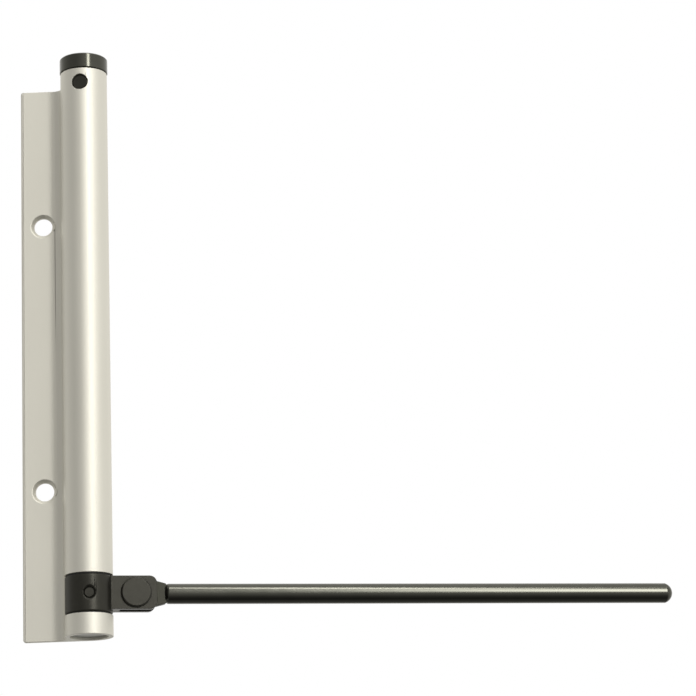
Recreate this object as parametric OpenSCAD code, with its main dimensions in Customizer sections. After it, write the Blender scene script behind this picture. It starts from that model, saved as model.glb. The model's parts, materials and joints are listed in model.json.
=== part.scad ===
// Tubular door closer.
// An aluminium extrusion, a round tube with a flat screw flange along one side, is
// screwed to a door frame. A long torsion spring in the tube turns a collar that shows
// in a window near the bottom, and the collar carries a folding rod that pushes the door.
// A cap at the top winds the spring, and a pin through the tube's wall locks the cap.
//
// Frame: the origin is the middle of the two screw holes, on the back face that lies on
// the door frame. +Y points into the door frame, +Z up along the tube, +X to the rod.

/* [Body] */
// Length of the tube
body_h = 183.3; // [150:0.1:230]
// Outer diameter of the tube
tube_d = 15; // [12.5:0.1:18]
// Wall of the tube
tube_wall = 1.5; // [1.2:0.1:1.8]
// Thickness of the screw flange
flange_t = 1.9; // [1.6:0.1:2.4]
// Width of the flange beside the tube, measured from the tube's surface
flange_w = 13.7; // [11.4:0.1:18]
// Length by which the flange stops short of the top of the tube
flange_drop = 3.1; // [2:0.1:6]
// Radius of the hollow sweep from the flange up to the tube
sweep_r = 3.5; // [2.5:0.1:4.5]
// Rounding of the flange's free edge and corners
flange_edge_r = 0.6; // [0.3:0.1:0.9]
// Rounding of the flange's outer corners, seen from the front
flange_corner = 0.8; // [0.4:0.1:1.5]
// Chamfer on the turned rims of the tube
rim_chamfer = 0.3; // [0.2:0.05:0.4]

/* [Screw holes] */
// Distance between the two screw holes
hole_spacing = 87; // [60:0.5:105]
// Height of the lower screw hole above the bottom
hole_low = 47.4; // [38:0.1:57]
// Distance of the screw holes from the tube's surface
hole_out = 6.7; // [5.6:0.1:8.2]
// Diameter of the screw holes
hole_d = 5.8; // [5:0.1:7]
// Diameter of the countersink at the flange's face
sink_d = 7.8; // [7.2:0.1:9.4]

/* [Collar and clevis] */
// Height of the stub of tube below the collar's window
stub_h = 6.6; // [6:0.1:8]
// Height of the collar
collar_h = 11.7; // [9.8:0.1:14]
// Amount by which the collar's surface lies inside the tube's
collar_inset = 0.1; // [0.05:0.05:0.3]
// Space between the collar's surface and the round wall of its window
window_gap = 1.2; // [0.8:0.1:1.6]
// Rounding of the window's inner corners
window_corner = 0.8; // [0.4:0.1:1.2]
// Step from the collar's top down to the clevis lug's top
lug_top_step = 0.1; // [0.1:0.1:0.6]
// Step from the collar's foot up to the clevis lug's bottom
lug_foot_step = 1.2; // [0.6:0.1:1.5]
// Distance from the collar's surface to the pivot
pivot_out = 6.9; // [6.4:0.1:9]
// Distance from the pivot to the end of the clevis
lug_end = 6.5; // [5.6:0.1:8]
// Radius of the clevis corners
lug_corner = 2.3; // [1:0.1:3]
// Thickness of each cheek of the clevis
cheek_t = 2; // [1.6:0.1:2.6]
// Diameter of the pin that locks the collar to its spindle
collar_pin_d = 3.3; // [2.7:0.1:4]
// Width of the chamfer round the pin's hole
pin_chamfer = 0.6; // [0.4:0.1:0.8]
// Depth of the pin's ends below the collar's surface
pin_sink = 0.5; // [0.3:0.1:0.6]
// Angle by which the pin is turned back from square to the clevis face
pin_turn = 4; // [0:0.5:8]

/* [Rod] */
// Reach of the rod's tip from the tube's axis
arm_reach = 186.8; // [150:0.1:230]
// Diameter of the rod
rod_d = 6.3; // [5:0.1:7.2]
// Height of the rod's domed tip
tip_h = 2.4; // [1.8:0.1:2.9]
// Angle by which the resting rod leans back past the flange's plane
rest_angle = 11.7; // [0:0.1:20]
// Thickness of the rod's flattened eye
eye_t = 2.8; // [2.3:0.1:3.4]
// Radius of the eye round the pivot
eye_r = 4.2; // [3.8:0.1:4.6]
// Half width of the flattened part where it leaves the clevis
flat_half_w = 3.9; // [3.4:0.1:4.2]
// Length of the flattened part outside the clevis
flat_out = 2.8; // [2.4:0.1:4]
// Chamfer round the shoulder where the flattened part meets the round rod
shoulder_chamfer = 0.8; // [0.5:0.1:1]

/* [Pivot rivet] */
// Diameter of the rivet's shank
shank_d = 5; // [4:0.1:6]
// Diameter of the rivet's head
head_d = 9.5; // [8:0.1:9.8]
// Thickness of the rivet's head
head_t = 1; // [0.8:0.1:1.4]
// Thickness of the washer under the rivet's closed end
rivet_washer_t = 0.6; // [0.5:0.1:0.8]
// Diameter of the rivet's closed end
tail_d = 6.8; // [6.4:0.1:7.4]
// Thickness of the rivet's closed end
tail_t = 0.9; // [0.7:0.1:1.2]

/* [Spindle and bearings] */
// Wall of the lower bush
bush_wall = 1; // [0.8:0.1:1.2]
// Step from the spindle's body in to its upper journal
journal_step = 1; // [0.8:0.1:1.2]
// Height of the upper bush
upper_bush_h = 8; // [6:0.1:10]
// Depth of the bottom plug inside the tube
plug_sink = 0.8; // [0.5:0.1:1.2]
// Thickness of the bottom plug
plug_t = 1.8; // [1.5:0.1:2.2]
// Thickness of each thrust washer
thrust_t = 0.35; // [0.3:0.05:0.45]

/* [Spring] */
// Diameter of the spring's wire
wire_d = 2; // [1.6:0.1:2.2]
// Wall of the plastic sleeve round the spring
liner_t = 0.45; // [0.35:0.05:0.55]
// Thickness of the washer at each end of the spring
seat_t = 0.6; // [0.5:0.1:0.8]
// Length of the noses that hold the spring's ends
nose_h = 6; // [5:0.1:8]
// Diameter of the guide rod inside the spring
guide_d = 3; // [2.5:0.1:3.6]

/* [Tension adjuster] */
// Length of the adjuster's stem inside the tube
stem_h = 25; // [20:0.1:30]
// Height of the cap
cap_h = 4.9; // [4:0.1:5.8]
// Amount by which the cap's surface stands outside the tube's
cap_proud = 0.2; // [0.1:0.05:0.4]
// Gap between the tube's top and the cap
cap_gap = 0.2; // [0.1:0.05:0.4]
// Chamfer round the top of the cap
cap_chamfer = 0.4; // [0.2:0.1:0.7]
// Wall of the cap round the stem's spigot
cap_wall = 3.1; // [2.6:0.1:3.8]
// Size across the flats of the winding key's socket
key_af = 5; // [4:0.5:6]
// Depth of the winding key's socket
key_depth = 3.8; // [3:0.1:4.5]
// Distance of the lock pin below the top of the tube
lock_drop = 4.7; // [4.6:0.1:6]
// Diameter of the lock pin
lock_d = 5; // [4:0.1:5.4]
// Length of the lock pin
lock_len = 3.6; // [3:0.1:3.8]
// Depth of the lock pin's face below the tube's surface
lock_sink = 0.7; // [0.4:0.1:1]
// Angle by which the lock pin is turned from square to the door frame, to the flange
lock_turn = 4; // [0:0.5:8]

/* [Fits] */
// Radial clearance of turning fits
run_clear = 0.04; // [0.02:0.01:0.08]
// Free play along the tube at each thrust face
end_clear = 0.05; // [0.03:0.01:0.1]
// Radial clearance of loose pieces such as washers and the guide rod
loose_clear = 0.1; // [0.08:0.01:0.15]
// Clearance between the eye and each cheek of the clevis
eye_clear = 0.1; // [0.05:0.01:0.15]
// Space between the eye and the floor of the clevis slot
slot_gap = 0.6; // [0.4:0.1:0.9]

/* [Hidden] */
$fn = 96;
// Overhang of cutting shapes past the faces that they cut
cut = 1;

// Radii about the tube's axis
tube_r = tube_d / 2;
bore_r = tube_r - tube_wall;
collar_r = tube_r - collar_inset;
spindle_r = bore_r - bush_wall - run_clear;
journal_r = spindle_r - journal_step;
coil_r = bore_r - liner_t - loose_clear - wire_d / 2;
nose_r = coil_r - wire_d / 2 - loose_clear;
guide_r = guide_d / 2;
cap_r = tube_r + cap_proud;
spigot_r = cap_r - cap_wall;
lock_face_r = tube_r - lock_sink;
lock_tip_r = lock_face_r - lock_len;

// Reaches out from the tube's axis
flange_reach = tube_r + flange_w;
hole_reach = tube_r + hole_out;
window_reach = collar_r + window_gap;
thrust_reach = bore_r + tube_wall / 2;
pivot_reach = collar_r + pivot_out;
lug_reach = pivot_reach + lug_end;
slot_floor = pivot_reach - eye_r - slot_gap;
shoulder_reach = lug_reach + flat_out;

// Thicknesses across the clevis
slot_w = eye_t + 2 * eye_clear;
lug_t = slot_w + 2 * cheek_t;

// Heights above the bottom of the tube
collar_z = stub_h + thrust_t + end_clear;
collar_top = collar_z + collar_h;
window_top = collar_top + end_clear + thrust_t;
collar_mid = collar_z + collar_h / 2;
arm_z = collar_mid + (lug_foot_step - lug_top_step) / 2;
plug_top = plug_sink + plug_t;
bush_top = window_top + upper_bush_h;
spring_z = bush_top + seat_t;
stem_z = body_h - stem_h;
spring_top = stem_z - seat_t;
flange_h = body_h - flange_drop;
stem_top = body_h + cap_gap;
cap_top = stem_top + cap_h;
lock_z = body_h - lock_drop;
lug_h = collar_h - lug_top_step - lug_foot_step;

// The closely wound spring as a stack of rings that just run into each other
ring_overlap = 0.02;
ring_count = ceil((spring_top - spring_z) / (wire_d - ring_overlap));
ring_pitch = (spring_top - spring_z - wire_d) / (ring_count - 1);
tang_d = wire_d - 0.2;

aluminium = [0.80, 0.79, 0.74];
blackened = [0.18, 0.18, 0.15];
gunmetal = [0.33, 0.33, 0.30];
steel = [0.60, 0.61, 0.60];
spring_steel = [0.35, 0.36, 0.38];
acetal = [0.92, 0.91, 0.86];
nylon = [0.12, 0.12, 0.12];

// Places its children about the tube's axis, with z = 0 at the bottom of the tube
module on_axis()
    translate([hole_reach, -tube_r, -(hole_low + hole_spacing / 2)])
        children();

// Places its children in the resting arm's frame: +X along the rod, -Y to the clevis face
module on_arm()
    on_axis()
        rotate([0, 0, rest_angle])
            children();

// Places its children at the lock pin, with +Z out of the tube along the pin
module on_lock()
    on_axis()
        translate([0, 0, lock_z])
            rotate([90, 0, -lock_turn])
                children();

// Places its children at the collar's pin, with Z along the pin
module on_pin()
    on_arm()
        translate([0, 0, collar_mid])
            rotate([90, 0, -pin_turn])
                children();

// A plain washer or bush from z = low to z = high
module ring(outer_r, inner_r, low, high) {
    translate([0, 0, low])
        difference() {
            cylinder(r = outer_r, h = high - low);
            translate([0, 0, -cut])
                cylinder(r = inner_r, h = high - low + 2 * cut);
        }
}

// A shaft section from z = low to z = high with a chamfer at each end
module turned(r, low, high, low_chamfer = 0, high_chamfer = 0) {
    rotate_extrude()
        polygon([[0, low], [r - low_chamfer, low], [r, low + low_chamfer],
                 [r, high - high_chamfer], [r - high_chamfer, high], [0, high]]);
}

// A six-sided socket, af across its flats, cut down from z = top
module hex_socket(af, depth, top) {
    translate([0, 0, top - depth])
        cylinder(d = af / cos(30), h = depth + cut, $fn = 6);
}

// A square corner of side r with a round of radius r taken out of it, at the origin
module corner_cut(r) {
    difference() {
        translate([-cut, -cut])
            square(r + cut);
        translate([r, r])
            circle(r);
    }
}

// Cross-section of the extrusion about the tube's axis, with the flat back at +Y
module extrusion_section() {
    flange_face = tube_r - flange_t;
    sweep_y = flange_face - sweep_r;
    sweep_x = -sqrt(pow(tube_r + sweep_r, 2) - pow(sweep_y, 2));
    difference() {
        union() {
            circle(tube_r);
            translate([-flange_reach, flange_face])
                square([flange_reach, flange_t]);
            polygon([[sweep_x, tube_r - flange_t / 2], [sweep_x, sweep_y],
                     [0, 0], [0, tube_r - flange_t / 2]]);
        }
        translate([sweep_x, sweep_y])
            circle(sweep_r);
        translate([-flange_reach, flange_face])
            corner_cut(flange_edge_r);
        circle(bore_r);
    }
}

// The round pocket that makes the collar's window, with rounded inner corners
module window() {
    window_h = window_top - stub_h;
    translate([0, 0, stub_h])
        rotate_extrude()
            difference() {
                square([window_reach, window_h]);
                for (side = [0, 1])
                    translate([window_reach, side * window_h])
                        mirror([0, side])
                            mirror([1, 0])
                                corner_cut(window_corner);
            }
}

// A countersunk screw hole through the flange
module screw_hole() {
    flange_face = tube_r - flange_t;
    sink_depth = (sink_d - hole_d) / 2;
    rotate([-90, 0, 0]) {
        cylinder(d = hole_d, h = tube_r + cut);
        translate([0, 0, flange_face - sink_d])
            cylinder(d = sink_d, h = sink_d);
        translate([0, 0, flange_face])
            cylinder(d1 = sink_d, d2 = hole_d, h = sink_depth);
    }
}

// A ring with a three-sided section that bevels the tube's outer rim at z = 0, facing down
module rim_cutter() {
    rotate_extrude()
        polygon([[tube_r - rim_chamfer, 0], [tube_r + cut, -cut],
                 [tube_r + cut, rim_chamfer + cut], [tube_r, rim_chamfer]]);
}

module housing() {
    color(aluminium)
        difference() {
            on_axis()
                linear_extrude(body_h)
                    extrusion_section();
            on_axis() {
                translate([-flange_reach - cut, -tube_d, flange_h])
                    cube([flange_reach + cut - tube_r, 2 * tube_d, flange_drop + cut]);
                translate([-flange_reach - cut, 0, flange_h])
                    difference() {
                        cube([flange_reach + cut, tube_d, flange_drop + cut]);
                        translate([flange_reach + cut, 0, -cut])
                            cylinder(r = tube_r, h = flange_drop + 3 * cut);
                    }
                translate([-flange_reach, tube_d, 0])
                    rotate([90, 0, 0])
                        linear_extrude(2 * tube_d) {
                            corner_cut(flange_corner);
                            translate([0, flange_h])
                                mirror([0, 1])
                                    corner_cut(flange_corner);
                        }
                window();
                for (z = [hole_low, hole_low + hole_spacing])
                    translate([-hole_reach, 0, z])
                        screw_hole();
                translate([0, 0, body_h])
                    mirror([0, 0, 1])
                        rim_cutter();
            }
            on_lock()
                cylinder(r = lock_d / 2 + loose_clear, h = tube_d);
        }
}

module bottom_plug() {
    color(steel)
        on_axis()
            turned(bore_r, plug_sink, plug_top, low_chamfer = rim_chamfer);
}

module lower_bush() {
    color(acetal)
        on_axis()
            ring(bore_r, spindle_r + run_clear, plug_top, stub_h);
}

module upper_bush() {
    color(acetal)
        on_axis()
            ring(bore_r, journal_r + run_clear, window_top, bush_top);
}

module lower_thrust_washer() {
    color(nylon)
        on_axis()
            ring(thrust_reach, spindle_r + loose_clear, stub_h, stub_h + thrust_t);
}

module upper_thrust_washer() {
    color(nylon)
        on_axis()
            ring(thrust_reach, journal_r + loose_clear, window_top - thrust_t, window_top);
}

// The nose that holds one end of the spring: a shaft with a blind hole for the guide rod
// and a slot for the spring's tang, standing on z = 0
module nose() {
    floor_h = end_clear;
    difference() {
        turned(nose_r, 0, nose_h, high_chamfer = rim_chamfer);
        translate([0, 0, floor_h])
            cylinder(r = guide_r + loose_clear, h = nose_h + cut);
        translate([0, -wire_d / 2, floor_h])
            cube([nose_r + cut, wire_d, nose_h + cut]);
    }
}

module spindle() {
    color(steel) {
        difference() {
            on_arm() {
                turned(spindle_r, plug_top + end_clear, collar_top, low_chamfer = rim_chamfer);
                turned(journal_r, collar_top - cut, spring_z);
            }
            on_pin()
                cylinder(d = collar_pin_d, h = tube_d, center = true);
        }
        on_arm()
            translate([0, 0, spring_z])
                nose();
    }
}

// Outline of the clevis lug, seen along the pivot, with its two outer corners rounded
module lug_outline() {
    difference() {
        translate([0, -lug_h / 2])
            square([lug_reach, lug_h]);
        for (side = [0, 1])
            mirror([0, side])
                translate([lug_reach, -lug_h / 2])
                    mirror([1, 0])
                        corner_cut(lug_corner);
    }
}

// One end of the hole along Z through the collar, with a chamfered mouth on its surface
module pin_hole() {
    pin_r = collar_pin_d / 2;
    cylinder(r = pin_r, h = tube_d);
    translate([0, 0, collar_r - pin_chamfer])
        cylinder(r1 = pin_r, r2 = pin_r + 2 * pin_chamfer, h = 2 * pin_chamfer);
}

module arm_collar() {
    color(blackened)
        difference() {
            on_arm() {
                turned(collar_r, collar_z, collar_top,
                       low_chamfer = rim_chamfer, high_chamfer = rim_chamfer);
                translate([0, 0, arm_z])
                    rotate([90, 0, 0])
                        linear_extrude(lug_t, center = true)
                            lug_outline();
            }
            on_arm() {
                translate([0, 0, collar_z - cut])
                    cylinder(r = spindle_r, h = collar_h + 2 * cut);
                translate([slot_floor, -slot_w / 2, arm_z - collar_h])
                    cube([lug_reach, slot_w, 2 * collar_h]);
                translate([pivot_reach, 0, arm_z])
                    rotate([90, 0, 0])
                        cylinder(d = shank_d, h = lug_t + 2 * cut, center = true);
            }
            on_pin()
                for (side = [0, 1])
                    mirror([0, 0, side])
                        pin_hole();
        }
}

module collar_pin() {
    half_len = collar_r - pin_sink;
    color(gunmetal)
        on_pin()
            turned(collar_pin_d / 2, -half_len, half_len,
                   low_chamfer = pin_sink / 2, high_chamfer = pin_sink / 2);
}

module pivot_rivet() {
    head_chamfer = head_t * 0.4;
    tail_face = lug_t / 2 + rivet_washer_t;
    color(gunmetal)
        on_arm()
            translate([pivot_reach, 0, arm_z])
                rotate([90, 0, 0]) {
                    turned(head_d / 2, lug_t / 2, lug_t / 2 + head_t,
                           high_chamfer = head_chamfer);
                    turned(shank_d / 2, -tail_face - tail_t / 2, lug_t / 2 + head_t / 2);
                    turned(tail_d / 2, -tail_face - tail_t, -tail_face,
                           low_chamfer = tail_t / 2);
                }
}

module rivet_washer() {
    color(steel)
        on_arm()
            translate([pivot_reach, 0, arm_z])
                rotate([90, 0, 0])
                    ring(head_d / 2 - rim_chamfer, shank_d / 2,
                         -lug_t / 2 - rivet_washer_t, -lug_t / 2);
}

// Outline of the flattened end, seen along the pivot, which is at its origin. It tapers
// to the rod's width at the shoulder and ends inside the rod.
module eye_outline() {
    shoulder = shoulder_reach - pivot_reach;
    rod_r = rod_d / 2;
    difference() {
        union() {
            circle(eye_r);
            polygon([[0, -eye_r], [lug_end, -flat_half_w], [shoulder, -rod_r],
                     [shoulder + shoulder_chamfer, shoulder_chamfer - rod_r],
                     [shoulder + shoulder_chamfer, rod_r - shoulder_chamfer],
                     [shoulder, rod_r], [lug_end, flat_half_w], [0, eye_r]]);
        }
        circle(shank_d / 2 + run_clear);
    }
}

// The round rod along +X, from its chamfered shoulder to its domed tip
module round_rod() {
    rod_r = rod_d / 2;
    dome_r = (rod_r * rod_r + tip_h * tip_h) / (2 * tip_h);
    rotate([0, 90, 0])
        rotate_extrude()
            intersection() {
                polygon([[0, shoulder_reach], [rod_r - shoulder_chamfer, shoulder_reach],
                         [rod_r, shoulder_reach + shoulder_chamfer],
                         [rod_r, arm_reach], [0, arm_reach]]);
                union() {
                    square([rod_d, arm_reach - tip_h]);
                    translate([0, arm_reach - dome_r])
                        circle(dome_r);
                }
            }
}

module arm_rod() {
    color(gunmetal)
        on_arm()
            translate([0, 0, arm_z]) {
                translate([pivot_reach, 0, 0])
                    rotate([90, 0, 0])
                        linear_extrude(eye_t, center = true)
                            eye_outline();
                round_rod();
            }
}

// A straight tang from the spring's end ring in to the nose's slot
module tang() {
    tang_in = guide_r + 2 * loose_clear;
    rotate([0, 90, 0])
        translate([0, 0, tang_in])
            cylinder(d = tang_d, h = coil_r - tang_in);
}

module torsion_spring() {
    color(spring_steel)
        on_axis() {
            rotate_extrude()
                for (i = [0 : ring_count - 1])
                    translate([coil_r, spring_z + wire_d / 2 + i * ring_pitch])
                        circle(d = wire_d);
            translate([0, 0, spring_z + wire_d / 2])
                rotate([0, 0, rest_angle])
                    tang();
            translate([0, 0, spring_top - wire_d / 2])
                tang();
        }
}

module spring_liner() {
    color(nylon)
        on_axis()
            ring(bore_r, bore_r - liner_t, bush_top, stem_z - end_clear);
}

module spring_guide() {
    color(steel)
        on_axis()
            turned(guide_r, spring_z + 2 * end_clear, spring_top - 2 * end_clear,
                   low_chamfer = rim_chamfer, high_chamfer = rim_chamfer);
}

module lower_spring_washer() {
    color(steel)
        on_axis()
            ring(bore_r - liner_t - loose_clear, journal_r + loose_clear, bush_top, spring_z);
}

module upper_spring_washer() {
    color(steel)
        on_axis()
            ring(bore_r - liner_t - loose_clear, nose_r + loose_clear, spring_top, stem_z);
}

module adjuster_core() {
    stem_r = bore_r - run_clear;
    groove_r = lock_tip_r - end_clear;
    groove_half_w = lock_d / 2 + 2 * loose_clear;
    color(gunmetal)
        on_axis() {
            difference() {
                union() {
                    turned(stem_r, stem_z, stem_top, low_chamfer = rim_chamfer);
                    turned(spigot_r, stem_top - cut, cap_top - cap_chamfer);
                }
                ring(bore_r + cut, groove_r, lock_z - groove_half_w, lock_z + groove_half_w);
                hex_socket(key_af, key_depth, cap_top - cap_chamfer);
            }
            translate([0, 0, stem_z])
                mirror([0, 0, 1])
                    translate([0, 0, -end_clear])
                        nose();
        }
}

module adjuster_cap() {
    color(gunmetal)
        on_axis()
            difference() {
                turned(cap_r, stem_top, cap_top, low_chamfer = rim_chamfer / 2,
                       high_chamfer = cap_chamfer);
                translate([0, 0, stem_top - cut])
                    cylinder(r = spigot_r, h = cap_h + 2 * cut);
            }
}

module lock_pin() {
    color(blackened)
        on_lock()
            turned(lock_d / 2, lock_tip_r, lock_face_r,
                   low_chamfer = rim_chamfer, high_chamfer = rim_chamfer);
}

housing();
bottom_plug();
lower_bush();
upper_bush();
lower_thrust_washer();
upper_thrust_washer();
spindle();
arm_collar();
collar_pin();
pivot_rivet();
rivet_washer();
arm_rod();
torsion_spring();
spring_liner();
spring_guide();
lower_spring_washer();
upper_spring_washer();
adjuster_core();
adjuster_cap();
lock_pin();
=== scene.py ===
# %% [markdown]
# # A tubular door closer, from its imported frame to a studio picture
# The closer is a slim aluminium tube with a screw flange along one side. A long torsion
# spring in the tube turns a blackened steel collar near the foot, and a gunmetal rod
# folds on the collar. The frame already holds every solid at its true size and place.
# This lesson gives each solid its finish, rounds the edges that catch the light, winds
# the real spring, and sets up a plain studio round it.

# %% Load the frame
import json
import math

import bmesh
import bpy
import numpy as np
from mathutils import Matrix, Vector

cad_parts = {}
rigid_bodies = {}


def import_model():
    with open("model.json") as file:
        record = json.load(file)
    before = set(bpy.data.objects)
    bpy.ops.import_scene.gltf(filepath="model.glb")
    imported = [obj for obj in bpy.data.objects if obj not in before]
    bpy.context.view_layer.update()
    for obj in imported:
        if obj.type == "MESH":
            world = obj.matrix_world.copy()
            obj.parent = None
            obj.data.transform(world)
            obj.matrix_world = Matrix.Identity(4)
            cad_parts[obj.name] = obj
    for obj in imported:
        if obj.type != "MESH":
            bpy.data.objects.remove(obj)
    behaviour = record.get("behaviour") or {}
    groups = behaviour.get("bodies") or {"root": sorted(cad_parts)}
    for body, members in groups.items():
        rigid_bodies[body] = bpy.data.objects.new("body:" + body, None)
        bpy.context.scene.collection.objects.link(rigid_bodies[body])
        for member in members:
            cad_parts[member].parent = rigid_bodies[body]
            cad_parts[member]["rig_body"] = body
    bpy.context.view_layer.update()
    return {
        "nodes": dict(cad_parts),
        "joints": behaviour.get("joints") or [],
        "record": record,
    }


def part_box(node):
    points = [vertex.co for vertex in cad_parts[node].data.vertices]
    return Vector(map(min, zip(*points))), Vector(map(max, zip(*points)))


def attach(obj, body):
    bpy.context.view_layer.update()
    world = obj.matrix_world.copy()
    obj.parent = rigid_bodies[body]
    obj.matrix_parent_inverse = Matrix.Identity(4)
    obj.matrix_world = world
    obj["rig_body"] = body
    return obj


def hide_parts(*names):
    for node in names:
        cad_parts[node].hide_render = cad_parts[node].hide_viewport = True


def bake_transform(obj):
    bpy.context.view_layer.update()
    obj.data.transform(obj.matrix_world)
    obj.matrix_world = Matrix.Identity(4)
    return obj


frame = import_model()

# %% [markdown]
# ## Places that everything else is measured from
# The tube's axis, the collar's middle and the direction of the resting rod are read
# from the frame's boxes and joints, so the pieces follow the model if it changes. The
# named reaches are measured from the tube's axis, and the rod's band from its foot.

# %% Read the places
MM = 0.001
# The window's reach from the axis and its margin round the collar bound the painted shade that
# darkens the aluminium inside the window.
WINDOW_REACH = 8.75 * MM
WINDOW_MARGIN = 0.35 * MM
SHOULDER_REACH = 24.2 * MM
ROD_BAND = 0.06
tube_low, tube_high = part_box("housing")
cap_low, cap_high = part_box("adjuster_cap")
joints = {joint["name"]: joint for joint in frame["joints"]}
tube_axis = Vector(joints["arm_swing"]["pos_m"])
rod_pivot = Vector(joints["rod_fold"]["pos_m"])
rod_direction = (rod_pivot - tube_axis).normalized()
SHOULDER_ALONG = tube_axis.dot(rod_direction) + SHOULDER_REACH
collar_low, collar_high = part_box("arm_collar")
window_low = collar_low.z - WINDOW_MARGIN
window_high = collar_high.z + WINDOW_MARGIN
print("tube axis", tuple(tube_axis), "rod leans", round(math.degrees(rod_direction.y), 1))

# %% [markdown]
# ## The camera
# The closer is seen from the front, a little from the right and from well below, with
# a long lens, so upright lines stay almost parallel. The camera also leans a little to
# one side. Its direction is built from a turn, a tilt and a lean, which are easier to
# read than a rotation matrix.

# %% Place the camera
CAMERA_PLACE = Vector((0.1101, -0.8713, -0.2304))
CAMERA_TURN = math.radians(-0.887)
CAMERA_TILT = math.radians(14.795)
CAMERA_LEAN = math.radians(-1.979)
LENS_MM = 146.8


def camera_matrix(place, turn, tilt, lean):
    """The camera's place and axes: turned from +Y towards +X, tilted up, then leant."""
    level_part = math.cos(tilt)
    forward = Vector((math.sin(turn) * level_part, math.cos(turn) * level_part, math.sin(tilt)))
    level = Vector((math.cos(turn), -math.sin(turn), 0))
    upright = level.cross(forward)
    right = math.cos(lean) * level + math.sin(lean) * upright
    up = -math.sin(lean) * level + math.cos(lean) * upright
    axes = Matrix((right, up, -forward)).transposed().to_4x4()
    return Matrix.Translation(place) @ axes


camera_data = bpy.data.cameras.new("studio_camera")
camera_data.lens = LENS_MM
camera_data.sensor_width = 36
camera_data.clip_start = 0.01
camera_data.clip_end = 50
camera = bpy.data.objects.new("studio_camera", camera_data)
bpy.context.scene.collection.objects.link(camera)
camera.matrix_world = camera_matrix(CAMERA_PLACE, CAMERA_TURN, CAMERA_TILT, CAMERA_LEAN)
bpy.context.scene.camera = camera
bpy.context.scene.view_settings.view_transform = "Standard"
print("camera at", tuple(round(v, 3) for v in camera.matrix_world.translation))

# %% [markdown]
# ## Shader maths
# A material is a graph of nodes, which is slow to write by hand. This class wraps one
# output of the graph, so that `0.5 + 0.05 * grain` adds the Math nodes by itself, and its
# `node` method adds any other node.


# %% The shader maths class
class Flow:
    """One output of a material's graph. Arithmetic on it adds Math nodes."""

    def __init__(self, tree, socket=None):
        self.tree = tree
        self.socket = socket

    def node(self, kind, settings=None, values=None, output=0):
        """Adds a node: its settings first, a ramp's stops among them, then its sockets."""
        made = self.tree.nodes.new(kind)
        for name, value in (settings or {}).items():
            if name == "stops":
                self._set_stops(made.color_ramp.elements, value)
            else:
                setattr(made, name, value)
        for name, value in (values or {}).items():
            socket = made.inputs[name]
            if isinstance(value, Flow):
                self.tree.links.new(value.socket, socket)
            else:
                socket.default_value = value
        return Flow(self.tree, made.outputs[output])

    @staticmethod
    def _set_stops(elements, stops):
        while len(elements) < len(stops):
            elements.new(1)
        for element, (place, colour) in zip(elements, stops):
            element.position = place
            element.color = colour

    def axes(self, vector):
        """The three numbers of a vector."""
        split = self.node("ShaderNodeSeparateXYZ", None, {"Vector": vector}).socket.node
        return [Flow(self.tree, output) for output in split.outputs]

    def _math(self, operation, first, second):
        return self.node("ShaderNodeMath", {"operation": operation}, {0: first, 1: second})

    def __add__(self, other):
        return self._math("ADD", self, other)

    def __sub__(self, other):
        return self._math("SUBTRACT", self, other)

    def __mul__(self, other):
        return self._math("MULTIPLY", self, other)

    def __pow__(self, other):
        return self._math("POWER", self, other)

    def __rsub__(self, other):
        return self._math("SUBTRACT", other, self)

    __radd__ = __add__
    __rmul__ = __mul__


def noise(flow, where, scale, detail=2.0, roughness=0.5):
    """A cloud of numbers from 0 to 1 with features about 1 / scale metres across."""
    sockets = {"Vector": where, "Scale": scale, "Detail": detail, "Roughness": roughness}
    return flow.node("ShaderNodeTexNoise", None, sockets)


def stretched(flow, stretch):
    """Object coordinates scaled by stretch, so that a noise on them runs along one axis."""
    place = flow.node("ShaderNodeTexCoord", output=3)
    return flow.node("ShaderNodeMapping", None, {"Vector": place, "Scale": stretch})


def mixed(flow, factor, first, second):
    """The first colour where factor is 0 and the second where it is 1."""
    made = flow.tree.nodes.new("ShaderNodeMix")
    made.data_type = "RGBA"
    flow.tree.links.new(factor.socket, made.inputs["Factor"])
    for socket, colour in ((made.inputs[6], first), (made.inputs[7], second)):
        if isinstance(colour, Flow):
            flow.tree.links.new(colour.socket, socket)
        else:
            socket.default_value = (*colour, 1)
    return Flow(flow.tree, made.outputs[2])


def step(flow, value, start, width):
    """0 below start, rising to 1 over the width."""
    sockets = {"Value": value, "From Min": start, "From Max": start + width}
    return flow.node("ShaderNodeMapRange", None, sockets)


def new_material(name, uniform):
    """An empty material: its graph, and its shader with the uniform numbers set."""
    material = bpy.data.materials.new(name)
    material.use_nodes = True
    tree = material.node_tree
    shader = tree.nodes["Principled BSDF"]
    for socket, value in uniform.items():
        shader.inputs[socket].default_value = value
    return material, Flow(tree), shader


def feed(flow, shader, colour, roughness, height, depth):
    """Joins the varying colour, roughness and surface height to the shader."""
    tree = flow.tree
    tree.links.new(colour.socket, shader.inputs["Base Color"])
    tree.links.new(roughness.socket, shader.inputs["Roughness"])
    bump = flow.node("ShaderNodeBump", None, {"Height": height, "Strength": 1, "Distance": depth})
    tree.links.new(bump.socket, shader.inputs["Normal"])


print("shader maths ready")
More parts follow.
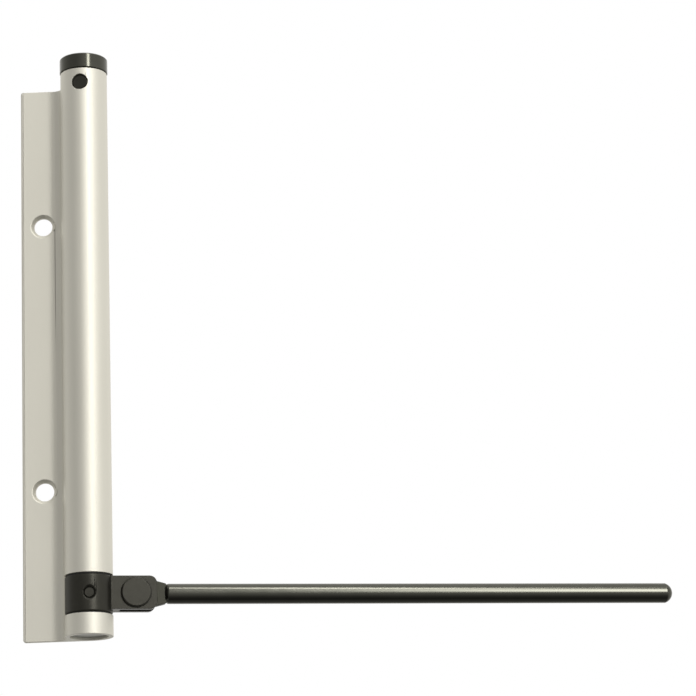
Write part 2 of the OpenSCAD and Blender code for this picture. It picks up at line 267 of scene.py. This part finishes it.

# %% [markdown]
# ## Satin anodised aluminium
# The body is an extrusion that was blasted with fine beads and anodised a warm silver.
# Real ones show three things: a grain of tiny dimples a fifth of a millimetre across,
# faint lines along the tube from the extrusion die, and slow patches where the blasting
# was a little stronger. Noise on Object coordinates gives all three, and stretching the
# coordinates along the tube turns the second into lines. Inside the collar's window the
# pocket wall is painted near-black, as painted shade round the dark collar.


# %% Aluminium
def satin_aluminium():
    """Warm silver metal: fine grain, die lines along Z, soft patches, and painted shade in the
    collar's window.
    """
    material, flow, shader = new_material("satin_aluminium", {"Metallic": 1.0})
    place = stretched(flow, (1, 1, 1))
    grain = noise(flow, place, 5200, detail=1.0)
    lines = noise(flow, stretched(flow, (1, 1, 0.012)), 2600, detail=3.0, roughness=0.6)
    patches = noise(flow, stretched(flow, (1, 1, 0.35)), 70, detail=2.0)
    tone = 0.22 * lines + 0.5 * patches + 0.28 * grain
    colour = mixed(flow, tone, (0.71, 0.695, 0.63), (0.79, 0.775, 0.715))
    across, depth, upward = flow.axes(flow.node("ShaderNodeTexCoord", output=3))
    # Painted shade: the aluminium inside the collar's window, within the window's reach of the
    # axis, is painted near-black to stand in for the shade round the collar.
    from_axis = ((across - tube_axis.x) ** 2 + (depth - tube_axis.y) ** 2) ** 0.5
    pocket_shade_above = step(flow, upward, window_low, 0.1 * MM)
    window_shade_height = pocket_shade_above * step(flow, upward * -1, -window_high, 0.1 * MM)
    pocket_shade_reach = step(flow, from_axis * -1, -WINDOW_REACH, 0.05 * MM)
    colour = mixed(flow, window_shade_height * pocket_shade_reach, colour, (0.045, 0.045, 0.038))
    roughness = 0.50 + 0.05 * patches + 0.04 * grain + 0.03 * lines
    feed(flow, shader, colour, roughness, grain + 0.5 * lines, 0.004 * MM)
    return material


print("aluminium written")

# %% [markdown]
# ## Blackened and plated steel
# The collar, its pin, the rivet and the lock pin are black oxide over steel with a
# milled skin, so the sheen is uneven and slightly olive. The rod and the cap are
# polished and plated dark, with faint drawn lines along the rod. The rod's flattened end
# is duller, because the plating is thin on the pressed faces.


# %% Steels
def blackened_steel():
    """Black oxide with an olive cast: mottled sheen and a fine skin."""
    material, flow, shader = new_material("blackened_steel", {"Metallic": 0.75, "IOR": 1.6})
    place = stretched(flow, (1, 1, 1))
    skin = noise(flow, place, 3000, detail=3.0, roughness=0.6)
    mottle = noise(flow, place, 420, detail=3.0)
    colour = mixed(flow, mottle, (0.025, 0.024, 0.019), (0.039, 0.038, 0.031))
    roughness = 0.28 + 0.10 * mottle + 0.06 * skin
    feed(flow, shader, colour, roughness, skin + 0.6 * mottle, 0.003 * MM)
    return material


def gunmetal_plate():
    """Dark polished plating with faint drawn lines along the rod's direction."""
    material, flow, shader = new_material("gunmetal_plate", {"Metallic": 1.0})
    place = flow.node("ShaderNodeTexCoord", output=3)
    turn = (0, 0, -math.atan2(rod_direction.y, rod_direction.x))
    sockets = {"Vector": place, "Rotation": turn, "Scale": (1, 1, 1)}
    turned = flow.node("ShaderNodeMapping", None, sockets)
    along = flow.node("ShaderNodeMapping", None, {"Vector": turned, "Scale": (0.02, 1, 1)})
    lines = noise(flow, along, 3200, detail=3.0, roughness=0.6)
    mottle = noise(flow, turned, 260, detail=2.0)
    colour = mixed(flow, 0.5 * lines + 0.5 * mottle, (0.067, 0.068, 0.058), (0.104, 0.104, 0.091))
    reach, _, upward = flow.axes(turned)
    before_shoulder = step(flow, reach * -1, -SHOULDER_ALONG, 0.3 * MM)
    flattened = before_shoulder * step(flow, upward * -1, -tube_low.z - ROD_BAND, 0.01)
    colour = mixed(flow, flattened, colour, (0.047, 0.047, 0.039))
    roughness = 0.12 + 0.05 * lines + 0.05 * mottle + 0.25 * flattened
    feed(flow, shader, colour, roughness, lines, 0.0008 * MM)
    return material


def plain_steel():
    """Turned zinc-grey steel: its rings are too fine to see, so a soft grain stands in."""
    material, flow, shader = new_material("plain_steel", {"Metallic": 1.0})
    place = stretched(flow, (1, 1, 1))
    grain = noise(flow, place, 3600, detail=2.0)
    clouds = noise(flow, place, 300, detail=2.0)
    colour = mixed(flow, 0.5 * grain + 0.5 * clouds, (0.24, 0.24, 0.225), (0.33, 0.33, 0.31))
    roughness = 0.32 + 0.14 * clouds
    feed(flow, shader, colour, roughness, grain, 0.005 * MM)
    return material


def spring_steel():
    """Oiled blue-grey wire."""
    material, flow, shader = new_material("spring_steel", {"Metallic": 1.0})
    place = stretched(flow, (1, 1, 1))
    grain = noise(flow, place, 2400, detail=3.0)
    colour = mixed(flow, grain, (0.14, 0.15, 0.17), (0.24, 0.25, 0.27))
    roughness = 0.26 + 0.12 * grain
    feed(flow, shader, colour, roughness, grain, 0.004 * MM)
    return material


print("steels written")

# %% [markdown]
# ## Plastics of the bearings
# The bushes are machined acetal and the washers and spring sleeve black nylon. They are
# almost hidden, but an opened view shows them, so they have a turned and a moulded grain.


# %% Plastics
def plastic(name, dark, light, rough):
    """A plastic with a soft grain between two tones."""
    material, flow, shader = new_material(name, {"Metallic": 0.0, "IOR": 1.48})
    place = stretched(flow, (1, 1, 1))
    grain = noise(flow, place, 2200, detail=2.0)
    colour = mixed(flow, grain, dark, light)
    feed(flow, shader, colour, rough + 0.1 * grain, grain, 0.006 * MM)
    return material


def white_acetal():
    """Creamy white machined acetal."""
    return plastic("white_acetal", (0.70, 0.69, 0.62), (0.80, 0.79, 0.73), 0.42)


def black_nylon():
    """Black moulded nylon."""
    return plastic("black_nylon", (0.012, 0.012, 0.012), (0.03, 0.03, 0.03), 0.5)


FINISHES = {
    make.__name__: make()
    for make in (satin_aluminium, blackened_steel, gunmetal_plate, plain_steel,
                 spring_steel, white_acetal, black_nylon)
}
slot_of = {part["node"]: part["material_slot"] for part in frame["record"]["subparts"]}
for node_name, node in frame["nodes"].items():
    for place in node.material_slots:
        place.material = FINISHES[slot_of[node_name]]
print("finishes", sorted(FINISHES))

# %% [markdown]
# ## Rounding the edges that catch the light
# A real edge is never perfectly sharp: deburring leaves a radius of a tenth or two of a
# millimetre, and that is what draws the bright lines round the window, the rims and the
# clevis. The CAD solids are crisp, so each outside piece is copied, its triangles are
# welded, its flat areas are melted into whole faces, and a Bevel modifier rounds the
# sharp edges. The copy then stands for the CAD node.

# %% Softened pieces
WELD = 0.002 * MM
FLAT_ANGLE = math.radians(0.6)
SHARP_ANGLE = math.radians(32)


def softened(node_name, piece_name, width, body):
    """A welded copy of a CAD node with its sharp edges rounded to the given width."""
    shape = bmesh.new()
    shape.from_mesh(frame["nodes"][node_name].data)
    bmesh.ops.remove_doubles(shape, verts=shape.verts, dist=WELD)
    bmesh.ops.dissolve_limit(shape, angle_limit=FLAT_ANGLE, verts=shape.verts, edges=shape.edges)
    mesh = bpy.data.meshes.new(piece_name)
    shape.to_mesh(mesh)
    shape.free()
    mesh.shade_smooth()
    mesh.materials.append(FINISHES[slot_of[node_name]])
    piece = bpy.data.objects.new(piece_name, mesh)
    bpy.context.scene.collection.objects.link(piece)
    bevel = piece.modifiers.new("deburred", "BEVEL")
    bevel.width = width
    bevel.segments = 3
    bevel.limit_method = "ANGLE"
    bevel.angle_limit = SHARP_ANGLE
    bevel.use_clamp_overlap = False
    bevel.miter_outer = "MITER_ARC"
    level = piece.modifiers.new("flat faces stay flat", "WEIGHTED_NORMAL")
    level.weight = 100
    level.keep_sharp = True
    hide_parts(node_name)
    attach(piece, body)
    return piece


for node_name, width in (("housing", 0.16), ("arm_collar", 0.18), ("pivot_rivet", 0.10),
                         ("arm_rod", 0.20), ("adjuster_cap", 0.08), ("lock_pin", 0.08)):
    owner = frame["nodes"][node_name]["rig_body"]
    made = softened(node_name, node_name + "_finished", width * MM, owner)
    print(made.name, len(made.data.polygons), "faces before rounding")

# %% [markdown]
# ## The spring
# The CAD spring is a stack of rings, which is enough for the motion model. The real one
# is a single wire wound without gaps, each end turned in to a tang that sits in a slotted
# nose. Its centre line is a helix whose radius grows out of the tang over a sixth of a
# turn, and a round section is carried along it.

# %% Wind the spring
spring_low, spring_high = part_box("torsion_spring")
spring_outer = (spring_high.x - spring_low.x) / 2
WIRE = 1.0 * MM
TANG_IN = 1.8 * MM
BEND_TURN = 0.16
STEPS_A_TURN = 28
WIRE_SIDES = 10


def smooth(t):
    """0 to 1 with a level start and finish."""
    t = np.clip(t, 0, 1)
    return t * t * (3 - 2 * t)


def swept_tube(path, radius, sides):
    """Vertices of a round tube: at each point a circle across the path's direction."""
    along = np.gradient(path, axis=0)
    along /= np.linalg.norm(along, axis=1, keepdims=True)
    across = np.cross(along, (0, 0, 1))
    across /= np.linalg.norm(across, axis=1, keepdims=True)
    over = np.cross(across, along)
    angle = np.arange(sides) * 2 * np.pi / sides
    turn = angle[None, :, None]
    ring = np.cos(turn) * across[:, None] + np.sin(turn) * over[:, None]
    return path[:, None] + radius * ring


def grid_faces(rows, columns):
    """Quads of a grid whose columns close on themselves, with outward faces."""
    row = np.arange(rows - 1)[:, None] * columns
    column = np.arange(columns)[None, :]
    after = (column + 1) % columns
    quads = np.stack([row + column, row + after, row + columns + after, row + columns + column], -1)
    return quads.reshape(-1, 4)


def tube_piece(name, rings, finish):
    """A mesh from rings of points, closed with a flat face at each end."""
    rows, sides = rings.shape[:2]
    faces = [tuple(face) for face in grid_faces(rows, sides).tolist()]
    faces += [tuple(range(sides))[::-1], tuple(range((rows - 1) * sides, rows * sides))]
    mesh = bpy.data.meshes.new(name)
    mesh.from_pydata(rings.reshape(-1, 3).tolist(), [], faces)
    shape = bmesh.new()
    shape.from_mesh(mesh)
    bmesh.ops.recalc_face_normals(shape, faces=shape.faces)
    shape.to_mesh(mesh)
    shape.free()
    mesh.shade_smooth()
    mesh.materials.append(FINISHES[finish])
    piece = bpy.data.objects.new(name, mesh)
    bpy.context.scene.collection.objects.link(piece)
    return piece


coil_radius = spring_outer - WIRE
rise = spring_high.z - spring_low.z - 2 * WIRE
turns = math.floor(rise / (2 * WIRE * 1.001))
steps = np.linspace(0, turns, turns * STEPS_A_TURN + 1)
reach = smooth(np.minimum(steps, turns - steps) / BEND_TURN)
radius = TANG_IN + (coil_radius - TANG_IN) * reach
angle = 2 * np.pi * steps + math.atan2(rod_direction.y, rod_direction.x)
centre_line = np.stack([
    tube_axis.x + radius * np.cos(angle),
    tube_axis.y + radius * np.sin(angle),
    spring_low.z + WIRE + rise * steps / turns,
], axis=1)
spring = tube_piece("wound_spring", swept_tube(centre_line, WIRE, WIRE_SIDES), "spring_steel")
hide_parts("torsion_spring")
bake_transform(spring)
print("spring turns", turns, "triangles", 2 * len(spring.data.polygons))

# %% [markdown]
# ## The studio
# The closer hangs in the air in front of white, as on a catalogue page. The floor is a
# pale disc well below it. The lights are painted on the world as smooth panels, each
# placed by its bearing and its height in degrees. A tall, narrow soft box at the front
# right draws the streak down the tube, the cap and the collar. A small lamp above the
# front, with a wide dim panel round it, draws the line along the rod, brightest near its
# middle. The rest is a dim grey room, so that the dark steel has something dark to
# mirror. Only the camera's own view of the world is white.

# %% Floor
FLOOR_DROP = 0.42
FLOOR_RADIUS = 3.0
floor_shape = bmesh.new()
bmesh.ops.create_circle(floor_shape, cap_ends=True, segments=96, radius=FLOOR_RADIUS)
floor_mesh = bpy.data.meshes.new("floor")
floor_shape.to_mesh(floor_mesh)
floor_shape.free()
floor = bpy.data.objects.new("floor", floor_mesh)
floor.location = (0, 0, tube_low.z - FLOOR_DROP)
floor.visible_glossy = False
bpy.context.scene.collection.objects.link(floor)
floor_material, floor_flow, floor_shader = new_material("pale_floor", {"Roughness": 0.8})
floor_shader.inputs["Base Color"].default_value = (0.80, 0.80, 0.79, 1)
floor_mesh.materials.append(floor_material)
print("floor at", round(floor.location.z, 3))


# %% World and lights
def ramp(flow, value, start, finish, low, high):
    """A smooth step from low to high while value goes from start to finish."""
    sockets = {"Value": value, "From Min": start, "From Max": finish, "To Min": low, "To Max": high}
    return flow.node("ShaderNodeMapRange", {"interpolation_type": "SMOOTHSTEP"}, sockets)


def panel(flow, angle, middle, half, soft):
    """1 within half of the middle angle, falling smoothly to 0 over the soft angle."""
    off = flow.node("ShaderNodeMath", {"operation": "ABSOLUTE"}, {0: angle - middle})
    return ramp(flow, off, half, half + soft, 1.0, 0.0)


def world_light():
    """A studio painted on the sky: bearing runs from the front towards +X, in degrees."""
    world = bpy.data.worlds.new("studio")
    bpy.context.scene.world = world
    world.use_nodes = True
    tree = world.node_tree
    tree.nodes.clear()
    flow = Flow(tree)
    direction = flow.node("ShaderNodeTexCoord", output=0)
    across, depth, upward = flow.axes(direction)
    degree = 180 / math.pi
    towards = {0: across, 1: depth * -1}
    bearing = flow.node("ShaderNodeMath", {"operation": "ARCTAN2"}, towards) * degree
    height = flow.node("ShaderNodeMath", {"operation": "ARCSINE"}, {0: upward}) * degree
    right = ramp(flow, bearing, 35, 120, 0.0, SKY["right"])
    left = ramp(flow, bearing, -50, -150, 0.0, SKY["left"])
    room = (SKY["room"] + right + left) * ramp(flow, height, -75, 10, SKY["below"], 1.0)
    overhead = ramp(flow, height, 55, 85, 0.0, SKY["overhead"])
    upright = ramp(flow, height, -2, 16, 0.0, SKY["strip"]) * ramp(flow, height, 28, 46, 1.0, 0.0)
    strip = panel(flow, bearing, *SKY["strip_span"]) * upright
    glow = panel(flow, bearing, *SKY["glow_span"]) * ramp(flow, height, -45, 15, 0.0, SKY["glow"])
    over_rod = panel(flow, bearing, *SKY["spot_span"]) * SKY["spot"]
    wide = panel(flow, bearing, 5, 50, 40) * SKY["top"]
    top = panel(flow, height, *SKY["top_span"]) * (wide + over_rod)
    total = room + overhead + strip + glow + top
    warm = {"Color": (1.0, 0.985, 0.94, 1), "Strength": total}
    soft = flow.node("ShaderNodeBackground", None, warm)
    white = flow.node("ShaderNodeBackground", None, {"Color": (1, 1, 1, 1), "Strength": 1.0})
    seen = flow.node("ShaderNodeLightPath", output=0)
    both = flow.node("ShaderNodeMixShader", None, {0: seen, 1: soft, 2: white})
    out = tree.nodes.new("ShaderNodeOutputWorld")
    tree.links.new(both.socket, out.inputs["Surface"])


SKY = {
    "room": 0.42, "right": 0.6, "left": 0.6, "below": 0.2, "overhead": 0.35,
    "strip": 12.0, "strip_span": (29.5, 2.5, 4), "glow": 0.45, "glow_span": (36, 10, 55),
    "top": 0.4, "top_span": (54, 4, 14), "spot": 20.0, "spot_span": (29, 0, 4.5),
}
world_light()
print("sky", SKY)
